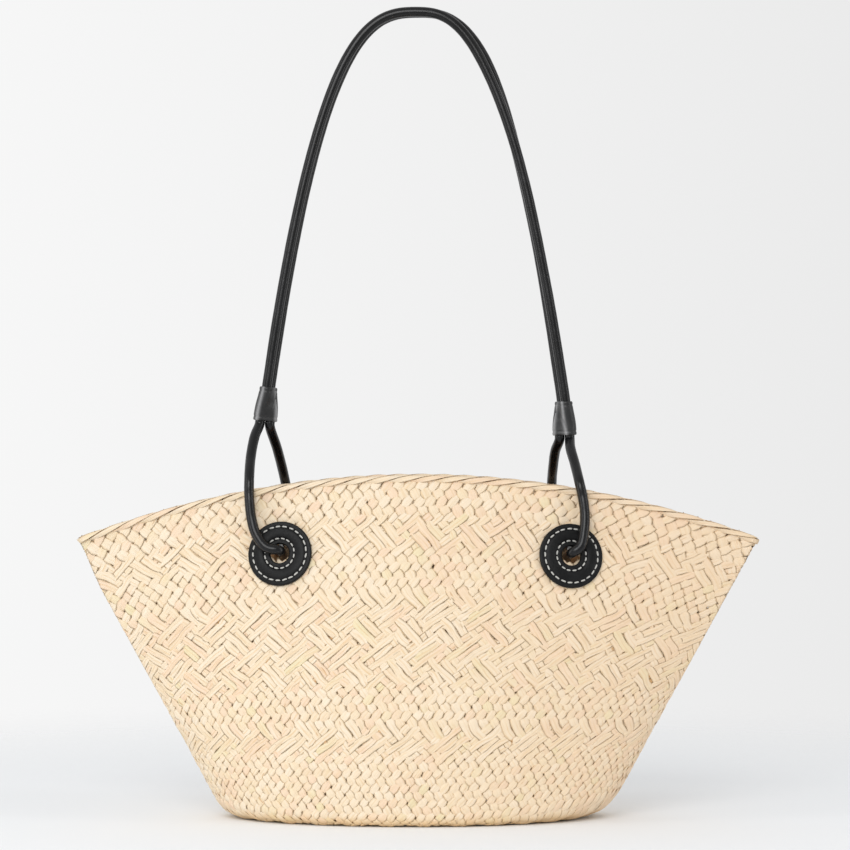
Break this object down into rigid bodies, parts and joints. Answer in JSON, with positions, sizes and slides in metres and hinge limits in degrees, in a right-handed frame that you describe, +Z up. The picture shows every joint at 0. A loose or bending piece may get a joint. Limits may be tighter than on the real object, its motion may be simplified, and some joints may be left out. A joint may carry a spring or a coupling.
{
  "type": "straw basket bag",
  "caption": "Woven straw basket shoulder bag with an oval foot, flaring walls, a pinched leaf-shaped mouth, round leather patches and a doubled leather cord strap.",
  "frame": {"origin": "on the floor under the middle of the basket's foot", "axes": "+Z up from the foot to the strap's top, -Y out of the front wall, +X to the right seen from the front"},
  "size_m": [0.4594, 0.146, 0.5458],
  "materials": {
    "straw": "matt woven natural straw",
    "leather": "smooth black leather with a soft sheen",
    "thread": "off-white waxed thread"
  },
  "bodies": {
    "root": {"basket": "straw", "patch_front_left": "leather", "patch_front_right": "leather", "patch_back_left": "leather", "patch_back_right": "leather", "strap_front": "leather", "strap_back": "leather", "sleeve_left": "leather", "sleeve_right": "leather", "loop_left": "leather", "loop_right": "leather"}
  },
  "joints": []
}
